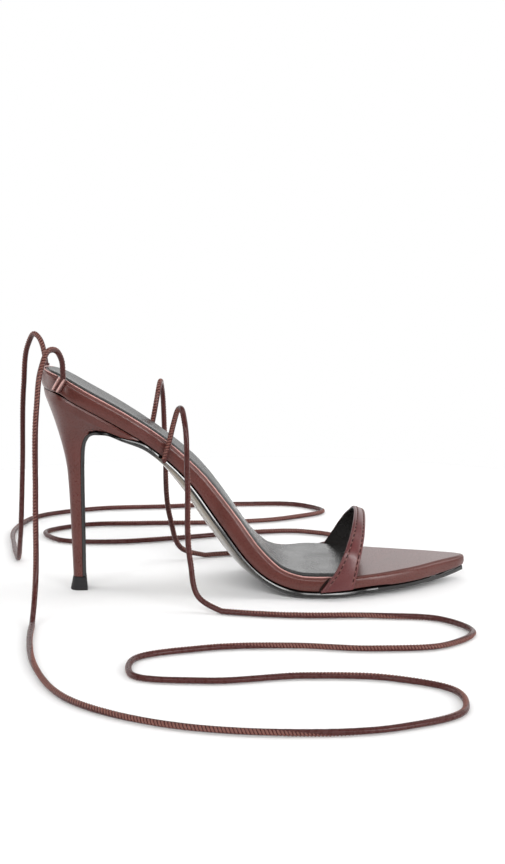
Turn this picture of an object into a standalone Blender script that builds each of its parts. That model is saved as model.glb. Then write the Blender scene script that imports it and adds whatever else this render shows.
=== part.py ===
"""Lace-up stiletto sandal with an open pointed toe, for the left foot. Metres, +Z up.

The shoe stands on its heel tip and on the flat of its forefoot, with the toe along +X and the
inner (medial) side at -Y. The origin is on the floor, under the middle of the shoe without its ties.
Sizes are in millimetres and are scaled once, where a mesh is made. "Along" is the level distance
from the back of the footbed's top, "across" is the distance from the heel's centre line, and
"height" is the distance from the floor.
"""

import math

import bmesh
import bpy
import numpy as np

MM = 0.001

# Driving dimensions
MIDDLE_ALONG = 112.5
MIDDLE_ACROSS = 1.3
GLUE_GAP = 0.3
FOOTBED_LENGTH = 225.0
HEEL_ROUND = 22.0
HEEL_UPRIGHT = 28.0
HEEL_ROUND_POWER = 2.3
TOE_ROUND = 6.0
TOE_ROUND_POWER = 2.2
EDGE_ROLL = 2.0
FEATHER_INSET = 1.0
SOCK_END = 162.0
SOCK_SLANT = 6.0
SLANT_START = 100.0
SLANT_END = 217.0
SOCK_THICKNESS = 1.2
SOCK_INSET = 2.4
SOCK_RECESS = 1.4
SEAT_END = 55.0
OUTSOLE_LAP = 1.0
OUTSOLE_INSET = 1.2
STRAP_THICKNESS = 1.9
STRAP_GAP = 0.35
TIP_ROUND_SHARE = 0.62
TIP_SIDE_FLARE = 0.30
TIP_FRONT_FLARE = 0.35
TAB_THICKNESS = 1.3
TAB_TOP = 1.2
TAB_FOOT_SHARE = 0.8
TIE_DIAMETER = 3.2
FLOOR_GAP = 0.1

# Sections of the footbed from heel to toe: its top edge, half widths, and thickness square to the top
FOOTBED_COLUMNS = ("along", "height", "medial", "lateral", "thickness")
FOOTBED_SECTIONS = {
    "heel_back": (0.0, 118.6, 23.4, 22.0, 9.6),
    "heel_cup": (9.0, 115.6, 24.0, 22.4, 8.5),
    "heel_seat": (23.0, 107.7, 24.2, 22.2, 7.7),
    "heel_front": (45.0, 94.6, 22.8, 20.8, 7.4),
    "waist_rear": (63.0, 81.8, 20.9, 19.6, 7.1),
    "waist": (81.0, 64.9, 20.6, 20.2, 7.4),
    "arch": (98.0, 43.1, 23.2, 22.8, 8.7),
    "arch_foot": (113.0, 22.8, 28.6, 28.0, 8.7),
    "ball_rear": (124.0, 13.9, 32.8, 34.4, 7.3),
    "tread_rear": (135.0, 11.6, 36.0, 40.0, 7.2),
    "ball": (142.5, 11.6, 37.2, 42.3, 7.2),
    "tread_front": (151.0, 11.6, 37.5, 40.8, 7.2),
    "toe_base": (166.0, 12.3, 36.0, 31.6, 6.6),
    "toe_middle": (190.0, 13.5, 28.2, 17.2, 7.4),
    "toe_front": (209.0, 14.0, 16.0, 7.8, 7.4),
    "toe_tip": (225.0, 13.8, 4.6, 1.2, 5.8),
}

# Sections of the outsole under the footbed: edge thickness, and how far the middle bulges below it
OUTSOLE_COLUMNS = ("along", "edge", "belly")
OUTSOLE_SECTIONS = {
    "heel_breast": (56.0, 3.3, 0.3),
    "waist_rear": (66.0, 2.7, 1.4),
    "waist": (81.0, 3.3, 2.9),
    "arch": (98.0, 2.9, 4.1),
    "arch_foot": (113.0, 2.3, 4.4),
    "ball_rear": (124.0, 3.5, 2.2),
    "tread_rear": (135.0, 4.1, 0.0),
    "tread_front": (151.0, 4.1, 0.0),
    "toe_middle": (190.0, 3.6, 0.0),
    "toe_tip": (225.0, 2.2, 0.0),
}
BREAST_COVER = 1.7
BREAST_INSET = 0.4

# Sections of the heel from the tip up: the ends of each on the back and on the breast, half width,
# and the share of its length that the round back takes
HEEL_COLUMNS = ("back_along", "back_height", "front_along", "front_height", "half_width", "round_share")
HEEL_SECTIONS = {
    "stem_foot": (14.6, 7.2, 19.4, 7.2, 4.1, 0.80),
    "stem_low": (14.2, 22.0, 19.4, 22.0, 3.9, 0.80),
    "stem_middle": (13.8, 37.0, 19.4, 37.0, 4.0, 0.80),
    "stem_high": (13.1, 54.8, 19.4, 54.0, 4.7, 0.78),
    "flare_low": (12.3, 66.0, 19.5, 66.0, 5.8, 0.72),
    "flare_middle": (10.7, 75.0, 19.9, 75.8, 7.8, 0.66),
    "flare_high": (8.4, 84.0, 21.4, 82.2, 11.2, 0.60),
    "cup_low": (5.9, 92.4, 26.0, 86.1, 15.4, 0.52),
    "cup_middle": (3.4, 99.6, 32.6, 86.5, 18.8, 0.45),
    "cup_high": (1.4, 105.0, 41.5, 83.3, 21.0, 0.40),
}

# Sections of the heel tip from the floor up: height, and flare beyond the stem at the back
TIP_COLUMNS = ("height", "flare")
TIP_SECTIONS = {
    "floor": (0.0, 1.3),
    "foot": (0.5, 1.5),
    "middle": (2.2, 1.1),
    "shoulder": (6.5, 0.3),
    "top": (6.9, 0.0),
}

# Sections of the toe strap from the medial seam over the toes to the lateral seam: its middle, its
# spread as a share of the footbed's half width, its width, and how far it drops towards the toe
STRAP_COLUMNS = ("along", "height", "spread", "width", "drop_deg")
STRAP_SECTIONS = {
    "medial_seam": (149.4, 5.4, -1.0, 16.8, -5.0),
    "medial_edge": (153.6, 13.2, -1.0, 11.8, 9.0),
    "medial_leg": (156.8, 21.4, -0.97, 9.4, 16.0),
    "medial_shoulder": (160.2, 29.4, -0.83, 8.2, 19.0),
    "medial_crown": (163.9, 35.7, -0.48, 7.0, 20.0),
    "crown": (166.8, 38.3, 0.0, 6.4, 21.0),
    "lateral_crown": (167.6, 33.9, 0.50, 7.0, 20.0),
    "lateral_shoulder": (166.6, 27.3, 0.83, 8.6, 19.0),
    "lateral_leg": (164.6, 20.4, 0.97, 10.2, 16.0),
    "lateral_edge": (161.9, 13.2, 1.0, 12.4, 9.0),
    "lateral_seam": (159.4, 6.4, 1.0, 16.8, -5.0),
}

# Heel tabs: the side they are on, the middles of foot and top along the shoe, and their level width
TAB_COLUMNS = ("side", "foot_along", "top_along", "width")
TABS = {
    "heel_tab_medial": (-1, 9.2, 11.7, 4.4),
    "heel_tab_lateral": (1, 2.6, 3.3, 2.2),
}

# The ties' routes, from the arch to the heel tab, in millimetres from the origin
TIE_ROUTES = {
    "tie_medial": (
        (-50.3, -24.2, 72.6), (-48.2, -24.3, 80.0), (-45.6, -25.0, 91.0), (-43.4, -29.5, 99.3),
        (-41.9, -36.8, 100.6), (-40.9, -43.0, 95.0), (-40.1, -47.3, 66.0), (-39.0, -49.4, 25.0),
        (-35.0, -52.5, 7.5), (-25.0, -57.5, 2.0), (12.0, -69.0, 1.8), (52.0, -73.5, 1.8),
        (82.0, -83.0, 1.8), (92.0, -104.0, 1.8), (75.0, -123.0, 1.8), (41.0, -125.5, 1.8),
        (4.0, -117.0, 1.8), (-38.0, -117.0, 1.8), (-70.0, -130.0, 1.8), (-71.0, -151.0, 1.8),
        (-40.0, -162.0, 1.8), (4.0, -160.0, 1.8), (42.0, -168.0, 1.8), (64.0, -186.0, 1.8),
        (62.0, -210.0, 1.8), (34.0, -225.0, 1.8), (-16.0, -226.0, 1.8), (-64.0, -210.0, 1.8),
        (-98.0, -180.0, 1.8), (-113.0, -138.0, 1.8), (-117.5, -96.0, 1.8), (-117.0, -67.0, 3.4),
        (-115.8, -55.0, 16.0), (-114.8, -51.0, 60.0), (-113.4, -48.2, 104.0), (-111.0, -43.8, 122.5),
        (-107.4, -37.4, 130.6), (-103.6, -30.8, 129.8), (-101.2, -26.6, 124.4), (-100.8, -24.5, 117.0),
    ),
    "tie_lateral": (
        (-56.3, 20.6, 77.6), (-54.4, 20.7, 85.0), (-52.2, 21.5, 96.0), (-50.4, 26.0, 104.0),
        (-49.2, 33.2, 105.2), (-48.2, 39.4, 99.5), (-46.8, 43.9, 68.0), (-44.2, 46.8, 26.0),
        (-38.0, 50.4, 7.6), (-25.0, 55.5, 2.0), (12.0, 62.0, 1.8), (46.0, 73.0, 1.8),
        (58.0, 92.0, 1.8), (40.0, 107.0, 1.8), (2.0, 107.0, 1.8), (-38.0, 98.0, 1.8),
        (-78.0, 93.0, 1.8), (-108.0, 102.0, 1.8), (-116.0, 122.0, 1.8), (-97.0, 137.0, 1.8),
        (-56.0, 139.0, 1.8), (-10.0, 137.0, 1.8), (36.0, 145.0, 1.8), (60.0, 163.0, 1.8),
        (48.0, 182.0, 1.8), (10.0, 189.0, 1.8), (-38.0, 186.0, 1.8), (-88.0, 183.0, 1.8),
        (-121.0, 166.0, 1.8), (-134.5, 132.0, 1.8), (-133.5, 90.0, 1.8), (-129.5, 56.0, 3.6),
        (-127.4, 43.0, 18.0), (-125.0, 37.4, 58.0), (-123.0, 34.4, 104.0), (-120.2, 29.6, 126.0),
        (-116.4, 23.2, 133.0), (-113.0, 17.0, 130.4), (-111.2, 13.6, 125.0), (-110.5, 12.5, 120.3),
    ),
}

LEATHER = ("burgundy_leather", (0.150, 0.058, 0.052), 0.42)
SOCK_LEATHER = ("black_sock_leather", (0.030, 0.028, 0.029), 0.50)
SOLE_BLACK = ("black_sole", (0.010, 0.009, 0.009), 0.25)
TIP_BLACK = ("black_tip_rubber", (0.014, 0.013, 0.013), 0.60)


def column(table, columns, name):
    """One named column of a table of sections, as an array."""
    place = columns.index(name)
    return np.array([row[place] for row in table.values()])


def smooth_through(knots, values, at):
    """A monotone cubic through the knots: it never overshoots, and is level between equal values."""
    steps = np.diff(knots)
    slopes = np.diff(values) / steps
    before, after = slopes[:-1], slopes[1:]
    near, far = 2 * steps[1:] + steps[:-1], steps[1:] + 2 * steps[:-1]
    same_way = before * after > 0
    safe_before = np.where(same_way, before, 1.0)
    safe_after = np.where(same_way, after, 1.0)
    inner = np.where(same_way, (near + far) / (near / safe_before + far / safe_after), 0.0)
    tangents = np.concatenate([slopes[:1], inner, slopes[-1:]])
    piece = np.clip(np.searchsorted(knots, at, side="right") - 1, 0, len(steps) - 1)
    step = steps[piece]
    share = (at - knots[piece]) / step
    square, cube = share**2, share**3
    return (
        (2 * cube - 3 * square + 1) * values[piece]
        + (cube - 2 * square + share) * step * tangents[piece]
        + (3 * square - 2 * cube) * values[piece + 1]
        + (cube - square) * step * tangents[piece + 1]
    )


def footbed(name, along):
    """A column of the footbed's sections at any place along it."""
    knots = column(FOOTBED_SECTIONS, FOOTBED_COLUMNS, "along")
    values = column(FOOTBED_SECTIONS, FOOTBED_COLUMNS, name)
    return smooth_through(knots, values, np.asarray(along, float))


def outsole(name, along):
    """A column of the outsole's sections at any place along it."""
    knots = column(OUTSOLE_SECTIONS, OUTSOLE_COLUMNS, "along")
    values = column(OUTSOLE_SECTIONS, OUTSOLE_COLUMNS, name)
    return smooth_through(knots, values, np.asarray(along, float))


def slope_angle(along):
    """The angle of the footbed's top to the floor."""
    step = 0.25
    low = np.clip(np.asarray(along, float) - step, 0.0, FOOTBED_LENGTH)
    high = np.clip(np.asarray(along, float) + step, 0.0, FOOTBED_LENGTH)
    return np.arctan2(footbed("height", high) - footbed("height", low), high - low)


def rounded(distance, radius, power):
    """A half width's share near a rounded end, from 0 at the end to 1 a radius away."""
    reach = np.clip(1.0 - np.asarray(distance, float) / radius, 0.0, 1.0)
    return (1.0 - reach**power) ** (1.0 / power)


def half_widths(along):
    """The medial and lateral edges' distances from the heel's centre line, with round heel and toe."""
    medial, lateral = footbed("medial", along), footbed("lateral", along)
    middle, half = (lateral - medial) / 2, (lateral + medial) / 2
    half = half * rounded(along, HEEL_ROUND, HEEL_ROUND_POWER)
    half = half * rounded(FOOTBED_LENGTH - np.asarray(along, float), TOE_ROUND, TOE_ROUND_POWER)
    return half - middle, half + middle


def bent(along, across, depth):
    """A place on the footbed, given on its flat pattern, bent to the last and moved square to its top,
    or straight up at the heel's back, where the footbed's side stands upright."""
    upright = np.clip(np.asarray(along, float) / HEEL_UPRIGHT, 0.0, 1.0)
    angle = slope_angle(along) * upright * upright * (3 - 2 * upright)
    return np.stack(
        [
            along - np.sin(angle) * depth,
            np.broadcast_to(across, np.shape(along)),
            footbed("height", along) + np.cos(angle) * depth,
        ],
        axis=-1,
    )


def stations(end):
    """Places along the footbed for its sections, closer together at the round heel and toe, with two at
    the step in front of the sock."""
    turn = np.linspace(0.0, math.pi / 2, 8)
    heel = HEEL_ROUND * (1 - np.cos(turn))
    toe = FOOTBED_LENGTH - TOE_ROUND * (1 - np.cos(turn[::-1]))
    body = np.linspace(heel[-1], toe[0], 46)[1:-1]
    body = body[np.abs(body - SOCK_END - 2.0) > 3.0]
    places = np.sort(np.concatenate([heel, body, [SOCK_END + 0.8, SOCK_END + 3.2], toe]))
    return np.append(places[places < end - 0.5], end)


def slanted(places):
    """Places on the medial and the lateral edge for each section: near the sock's end the sections
    slant as the toes do, and at the heel and at the toe tip they lie square to the shoe."""
    rise = np.clip((places - SLANT_START) / (SOCK_END - SLANT_START), 0.0, 1.0)
    fall = np.clip((SLANT_END - places) / (SLANT_END - SOCK_END), 0.0, 1.0)
    slide = SOCK_SLANT * rise * rise * (3 - 2 * rise) * fall * fall * (3 - 2 * fall)
    return places - slide, places + slide


def pattern_loop(places, inset):
    """A closed loop around the footbed's flat pattern, moved in by an inset, from the back point along
    the medial edge to the toe and back along the lateral edge."""
    medial_along, lateral_along = slanted(places)
    medial, lateral = half_widths(medial_along)[0], half_widths(lateral_along)[1]
    pointed = places[-1] >= FOOTBED_LENGTH
    last = len(places) - 1 if pointed else len(places)
    along = np.concatenate([medial_along, lateral_along[1:last][::-1]])
    across = np.concatenate([-medial, lateral[1:last][::-1]])
    across[0] = (lateral[0] - medial[0]) / 2
    loop = np.stack([along, across], axis=-1)
    ahead, behind = np.roll(loop, -1, axis=0), np.roll(loop, 1, axis=0)
    if not pointed:
        ahead[last - 1], behind[last] = loop[last - 1], loop[last]
    cosine = np.cos(slope_angle(along))
    run, rise = (ahead - behind).T
    rise = rise * cosine
    length = np.hypot(run, rise)
    along = np.clip(along - inset * cosine * rise / length, 0.0, FOOTBED_LENGTH)
    return along, across + inset * run / length


def material(finish):
    """The named finish as a material, made once."""
    name, colour, roughness = finish
    made = bpy.data.materials.get(name)
    if made is None:
        made = bpy.data.materials.new(name)
        made.use_nodes = True
        shader = made.node_tree.nodes["Principled BSDF"]
        shader.inputs["Base Color"].default_value = (*colour, 1.0)
        shader.inputs["Roughness"].default_value = roughness
        shader.inputs["Metallic"].default_value = 0.0
        made.diffuse_color = (*colour, 1.0)
    return made


def strip_cap(loop):
    """Faces that close a loop whose points pair up across the shoe, from its first point on."""
    count = len(loop)
    faces = [(loop[0], loop[1], loop[-1])]
    i = 1
    while i + 1 < count - i - 1:
        faces.append((loop[i], loop[i + 1], loop[count - i - 1], loop[count - i]))
        i += 1
    if i + 1 == count - i - 1:
        faces.append((loop[i], loop[i + 1], loop[count - i]))
    return faces


def lofted(name, rings, finish, cap=None):
    """A closed solid through rings of points, with its two end rings closed."""
    mesh = bpy.data.meshes.new(name)
    made = bmesh.new()
    origin = np.array([MIDDLE_ALONG, MIDDLE_ACROSS, 0.0])
    rows = [[made.verts.new((point - origin) * MM) for point in ring] for ring in rings]
    for low, high in zip(rows, rows[1:]):
        for i in range(len(low)):
            j = (i + 1) % len(low)
            made.faces.new((low[i], low[j], high[j], high[i]))
    for ring in (rows[0], rows[-1]):
        for face in cap(ring) if cap else [ring]:
            made.faces.new(face)
    bmesh.ops.recalc_face_normals(made, faces=made.faces)
    made.to_mesh(mesh)
    made.free()
    mesh.shade_smooth()
    mesh.set_sharp_from_angle(angle=math.radians(40))
    mesh.materials.append(material(finish))
    piece = bpy.data.objects.new(name, mesh)
    bpy.context.scene.collection.objects.link(piece)
    return piece


def layered(name, places, layers, finish):
    """A solid over the footbed's pattern, from layers of (inset, height over the footbed's top at each
    section, share of the footbed's thickness below that)."""
    rings = []
    for inset, lift, share in layers:
        along, across = pattern_loop(places, inset)
        lifts = lift * np.ones(len(places))
        lifts = np.concatenate([lifts, lifts[1 : len(along) - len(places) + 1][::-1]])
        rings.append(bent(along, across, lifts - share * footbed("thickness", along)))
    lofted(name, rings, finish, strip_cap)


def make_footbed():
    """The leather-wrapped board: a shallow bed for the sock, a rolled rim, an upright side and a bottom
    edge drawn in."""
    places = stations(FOOTBED_LENGTH)
    layers = [(EDGE_ROLL + 0.1, -SOCK_RECESS * (places < SOCK_END + 2.0), 0.0)]
    for turn in np.linspace(0.0, math.pi / 2, 4):
        layers.append((EDGE_ROLL * (1 - math.sin(turn)), EDGE_ROLL * (math.cos(turn) - 1), 0.0))
    for inset_share, thickness_share in ((0.0, 0.62), (0.3, 0.88), (1.0, 1.0)):
        layers.append((inset_share * FEATHER_INSET, 0.0, thickness_share))
    layered("footbed", places, layers, LEATHER)


def make_sock():
    """The padded sock, glued into the footbed's bed, up to under the toe strap."""
    low = GLUE_GAP - SOCK_RECESS
    top = low + SOCK_THICKNESS
    profile = ((0.4, low), (0.0, low + 0.4), (0.1, top - 0.4), (0.7, top))
    layers = [(SOCK_INSET + inset, height, 0.0) for inset, height in profile]
    layered("insole_sock", stations(SOCK_END), layers, SOCK_LEATHER)


def seat_row(shares):
    """The heel's top ring, which follows the footbed's underside a gap below it."""
    reach = FEATHER_INSET + shares * (SEAT_END - FEATHER_INSET)
    medial, lateral = half_widths(shares * SEAT_END)
    depth = -footbed("thickness", reach) - GLUE_GAP
    scale = 1 - FEATHER_INSET / footbed("medial", reach)
    back = bent(reach[:1], np.array([(lateral[0] - medial[0]) / 2]), depth[:1])
    medial_side = bent(reach[1:], -medial[1:] * scale[1:], depth[1:])
    lateral_side = bent(reach[1:], lateral[1:] * scale[1:], depth[1:])
    return np.concatenate([back, medial_side, lateral_side[::-1]])


def heel_sections():
    """The heel's rows, read smoothly from the table between the tip and the seat."""
    knots = np.arange(len(HEEL_SECTIONS), dtype=float)
    at = np.linspace(0.0, knots[-1], 22)
    smooth = [smooth_through(knots, column(HEEL_SECTIONS, HEEL_COLUMNS, name), at) for name in HEEL_COLUMNS]
    return [dict(zip(HEEL_COLUMNS, row)) for row in zip(*smooth)]


def make_heel():
    """The covered stiletto heel: a D-shaped stem that flares and leans forward into a seat."""
    shares = 1 - np.cos(np.linspace(0.0, math.pi / 2, 10))
    rings = []
    for row in heel_sections():
        half = row["half_width"] * rounded(shares, row["round_share"], HEEL_ROUND_POWER)
        along = row["back_along"] + shares * (row["front_along"] - row["back_along"])
        height = row["back_height"] + shares * (row["front_height"] - row["back_height"])
        side = np.stack([along, half, height], axis=-1)
        rings.append(np.concatenate([side * (1, -1, 1), side[1:][::-1]]))
    rings.append(seat_row(shares))
    lofted("heel", rings, LEATHER, strip_cap)


def make_tip():
    """The black tip, a little wider at the floor than the stem and its breast cover."""
    foot = HEEL_SECTIONS["stem_foot"]
    back = foot[HEEL_COLUMNS.index("back_along")]
    front = foot[HEEL_COLUMNS.index("front_along")] + GLUE_GAP + BREAST_COVER
    half_width = foot[HEEL_COLUMNS.index("half_width")]
    shares = 1 - np.cos(np.linspace(0.0, math.pi / 2, 9))
    rings = []
    for height, flare in TIP_SECTIONS.values():
        half = half_width + TIP_SIDE_FLARE * flare
        half = half * rounded(shares, TIP_ROUND_SHARE, HEEL_ROUND_POWER)
        start, end = back - flare, front + TIP_FRONT_FLARE * flare
        side = np.stack([start + shares * (end - start), half, np.full_like(shares, height)], axis=-1)
        rings.append(np.concatenate([side * (1, -1, 1), side[1:][::-1]]))
    lofted("heel_tip", rings, TIP_BLACK, strip_cap)


def outsole_stations():
    """Rows of the outsole from the toe tip along the arch and down the heel's breast: the line that its
    inner face follows, its two half widths, its edge thickness and its belly."""
    places = stations(FOOTBED_LENGTH)
    places = places[(places > SEAT_END + 4.0) & (places < FOOTBED_LENGTH - OUTSOLE_INSET)][::-1]
    tip = np.array([FOOTBED_LENGTH - OUTSOLE_INSET])
    last = np.array([SEAT_END + OUTSOLE_LAP])
    places = np.concatenate([tip, places, last])
    under = bent(places, 0.0, -footbed("thickness", places) - GLUE_GAP)[:, [0, 2]]
    medial, lateral = half_widths(np.minimum(places + OUTSOLE_INSET, FOOTBED_LENGTH - 0.4))
    middle, half = (lateral - medial) / 2, (lateral + medial) / 2
    half = half - OUTSOLE_INSET * np.minimum(1.0, half / 4)
    breast = heel_sections()[::-1]
    front = np.array([(row["front_along"], row["front_height"]) for row in breast])
    line = np.concatenate([under, front])
    tangent = np.gradient(line, axis=0)
    tangent /= np.linalg.norm(tangent, axis=1)[:, None]
    outward = np.stack([-tangent[:, 1], tangent[:, 0]], axis=-1)
    line[len(places):] += GLUE_GAP * outward[len(places):]
    cover = np.array([row["half_width"] for row in breast])
    return {
        "line": line,
        "outward": outward,
        "medial": np.concatenate([half - middle, cover - BREAST_INSET]),
        "lateral": np.concatenate([half + middle, cover - BREAST_INSET]),
        "edge": np.concatenate([outsole("edge", places), np.full(len(breast), BREAST_COVER)]),
        "belly": np.concatenate([outsole("belly", places), np.zeros(len(breast))]),
    }


def make_outsole():
    """The thin black sole: flat under the forefoot, rounded under the arch, and a cover on the breast."""
    rows = outsole_stations()
    shares = np.array([-1.0, -1.0, -0.95, -0.7, -0.35, 0.0, 0.35, 0.7, 0.95, 1.0, 1.0])
    edge_share = np.array([0.0, 0.65, 1.0, 1.0, 1.0, 1.0, 1.0, 1.0, 1.0, 0.65, 0.0])
    bulge = (1 - shares**2) * (edge_share == 1.0)
    rings = []
    for i, (along, height) in enumerate(rows["line"]):
        width = np.where(shares < 0, rows["medial"][i], rows["lateral"][i])
        depth = edge_share * rows["edge"][i] + bulge * rows["belly"][i]
        out_along, out_height = rows["outward"][i]
        ring = [along + depth * out_along, shares * width, height + depth * out_height]
        rings.append(np.stack(ring, axis=-1))
    lofted("outsole", rings, SOLE_BLACK)


def strap_surface():
    """The strap's inner face as a grid: rows along the strap, columns across its width."""
    knots = np.arange(len(STRAP_SECTIONS), dtype=float)
    at = np.linspace(0.0, knots[-1], 41)
    row = {}
    for name in STRAP_COLUMNS:
        row[name] = smooth_through(knots, column(STRAP_SECTIONS, STRAP_COLUMNS, name), at)
    reach = np.linspace(-0.5, 0.5, 4)[None, :] * row["width"][:, None]
    drop = np.radians(row["drop_deg"])[:, None]
    along = row["along"][:, None] + reach * np.cos(drop)
    height = row["height"][:, None] - reach * np.sin(drop)
    medial, lateral = half_widths(along)
    spread = np.broadcast_to(row["spread"][:, None], along.shape)
    across = np.where(spread < 0, medial + STRAP_GAP, lateral + STRAP_GAP) * spread
    return np.stack([along, across, height], axis=-1)


def make_strap():
    """The upper: one leather strap over the toes, down both sides of the footbed to its bottom edge."""
    inner = strap_surface()
    run, width = np.gradient(inner, axis=0), np.gradient(inner, axis=1)
    outward = np.cross(width, run)
    outward /= np.linalg.norm(outward, axis=-1, keepdims=True)
    outer = inner + STRAP_THICKNESS * outward
    rings = [np.concatenate([low, high[::-1]]) for low, high in zip(inner, outer)]
    lofted("toe_strap", rings, LEATHER)


def make_tab(name):
    """A flat leather tab that holds a tie, over the footbed's side from above its rim to near the seam."""
    side, foot_along, top_along, width = TABS[name]
    reach_in, reach_out = STRAP_GAP, STRAP_GAP + TAB_THICKNESS
    edges = []
    for middle, top in ((foot_along, False), (top_along, True)):
        along = middle + width * np.linspace(-0.5, 0.5, 5)
        medial, lateral = half_widths(along)
        across = -medial if side < 0 else lateral
        turn = np.arctan2(np.gradient(across), np.gradient(along))
        away = np.stack([-side * np.sin(turn), side * np.cos(turn), np.zeros(5)], axis=-1)
        depth = np.full(5, TAB_TOP) if top else -TAB_FOOT_SHARE * footbed("thickness", along)
        face = bent(along, across, depth)
        edges.append((face + reach_in * away, face + reach_out * away))
    (foot_in, foot_out), (top_in, top_out) = edges
    rings = [np.array(ring) for ring in zip(foot_in, foot_out, top_out, top_in)]
    lofted(name, rings, LEATHER)


def tie_points(route, count):
    """Points on one smooth curve through a route, closer together where it bends."""
    route = np.array(route, float)
    knots = np.concatenate([[0.0], np.cumsum(np.linalg.norm(np.diff(route, axis=0), axis=1))])
    slope = np.gradient(route, knots, axis=0)
    fine = np.linspace(0.0, knots[-1], 2000)
    piece = np.clip(np.searchsorted(knots, fine, side="right") - 1, 0, len(knots) - 2)
    step = (knots[piece + 1] - knots[piece])[:, None]
    share = ((fine - knots[piece])[:, None]) / step
    square, cube = share**2, share**3
    curve = (
        (2 * cube - 3 * square + 1) * route[piece]
        + (cube - 2 * square + share) * step * slope[piece]
        + (3 * square - 2 * cube) * route[piece + 1]
        + (cube - square) * step * slope[piece + 1]
    )
    curve[:, 2] = np.maximum(curve[:, 2], TIE_DIAMETER / 2 + FLOOR_GAP)
    heading = np.gradient(curve, axis=0)
    heading /= np.linalg.norm(heading, axis=1)[:, None]
    bend = np.linalg.norm(np.gradient(heading, axis=0), axis=1)
    length = np.linalg.norm(np.gradient(curve, axis=0), axis=1)
    weight = np.cumsum(np.sqrt(bend * length + (0.04 * length) ** 2))
    weight -= weight[0]
    even = np.linspace(0.0, weight[-1], count)
    return np.stack([np.interp(even, weight, curve[:, axis]) for axis in range(3)], axis=-1)


def make_tie(name, route):
    """A rolled leather cord lying loose, as a round tube."""
    curve = bpy.data.curves.new(name, "CURVE")
    curve.dimensions = "3D"
    curve.bevel_depth = TIE_DIAMETER / 2 * MM
    curve.bevel_resolution = 2
    curve.use_fill_caps = True
    points = tie_points(route, 80)
    spline = curve.splines.new("POLY")
    spline.points.add(len(points) - 1)
    for point, place in zip(spline.points, points):
        point.co = (*(place * MM), 1.0)
    curve.materials.append(material(LEATHER))
    piece = bpy.data.objects.new(name, curve)
    bpy.context.scene.collection.objects.link(piece)


for old in list(bpy.data.objects):
    bpy.data.objects.remove(old, do_unlink=True)

make_footbed()
make_sock()
make_outsole()
make_heel()
make_tip()
make_strap()
for tab_name in TABS:
    make_tab(tab_name)
for tie_name, tie_route in TIE_ROUTES.items():
    make_tie(tie_name, tie_route)

sandal = bpy.data.objects.new("sandal", None)
bpy.context.scene.collection.objects.link(sandal)
for piece_object in list(bpy.context.scene.collection.objects):
    if piece_object is not sandal:
        piece_object.parent = sandal
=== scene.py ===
"""Looks of a lace-up stiletto sandal with an open pointed toe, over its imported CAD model. Metres, +Z up."""

import math

import bpy
import numpy as np
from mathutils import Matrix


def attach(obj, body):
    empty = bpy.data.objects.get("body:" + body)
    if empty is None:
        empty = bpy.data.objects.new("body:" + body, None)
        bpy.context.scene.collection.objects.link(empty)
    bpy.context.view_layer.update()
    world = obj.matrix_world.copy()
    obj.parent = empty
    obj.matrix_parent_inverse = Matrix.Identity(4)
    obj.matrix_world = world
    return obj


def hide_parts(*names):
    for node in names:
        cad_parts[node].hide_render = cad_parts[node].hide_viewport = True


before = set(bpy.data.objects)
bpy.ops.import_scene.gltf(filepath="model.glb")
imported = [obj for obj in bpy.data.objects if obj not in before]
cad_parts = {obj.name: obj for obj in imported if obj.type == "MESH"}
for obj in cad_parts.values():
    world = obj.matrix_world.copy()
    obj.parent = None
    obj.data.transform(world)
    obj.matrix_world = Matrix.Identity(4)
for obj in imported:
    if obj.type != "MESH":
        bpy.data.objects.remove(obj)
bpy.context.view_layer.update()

# Footbed
# The insole board with its steel shank and padding, wrapped in burgundy calf leather that is drawn over
# the rim and pulled under. The last gives it its arch, and the sock lies in a shallow bed in its top.
MERGE_DISTANCE = 0.00002
QUAD_BEND = math.radians(60)
QUAD_SKEW = math.radians(70)
CREASE_ANGLE = math.radians(50)
CREASE = 0.85
SMOOTH_ANGLE = math.radians(35)
SUBDIVISIONS = 2
TOE_TIP_START = 0.112
TOE_TIP_DROOP = 0.0017
MIX_COLOURS = {"data_type": "RGBA"}


def colour(code):
    """An sRGB hex colour as a linear colour."""
    channels = [int(code[i : i + 2], 16) / 255 for i in (1, 3, 5)]
    linear = [c / 12.92 if c <= 0.04045 else ((c + 0.055) / 1.055) ** 2.4 for c in channels]
    return (*linear, 1.0)


def scale_for(millimetres):
    """The scale that gives a pattern features of this size."""
    return 1000.0 / millimetres


def connect(material, node, links):
    """Links outputs to a node's inputs, or sets their values."""
    for name, value in links.items():
        if isinstance(value, bpy.types.NodeSocket):
            material.node_tree.links.new(value, node.inputs[name])
        else:
            node.inputs[name].default_value = value


def add_node(material, kind, settings, links):
    """Adds a node: settings are its properties, links its inputs, each a value or another node's output."""
    made = material.node_tree.nodes.new(kind)
    for name, value in settings.items():
        setattr(made, name, value)
    connect(material, made, links)
    return made


def new_material(name):
    """An empty material of that name, its shader and the piece's own place."""
    made = bpy.data.materials.new(name)
    made.use_nodes = True
    place = add_node(made, "ShaderNodeTexCoord", {}, {}).outputs["Object"]
    return made, made.node_tree.nodes["Principled BSDF"], place


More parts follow.
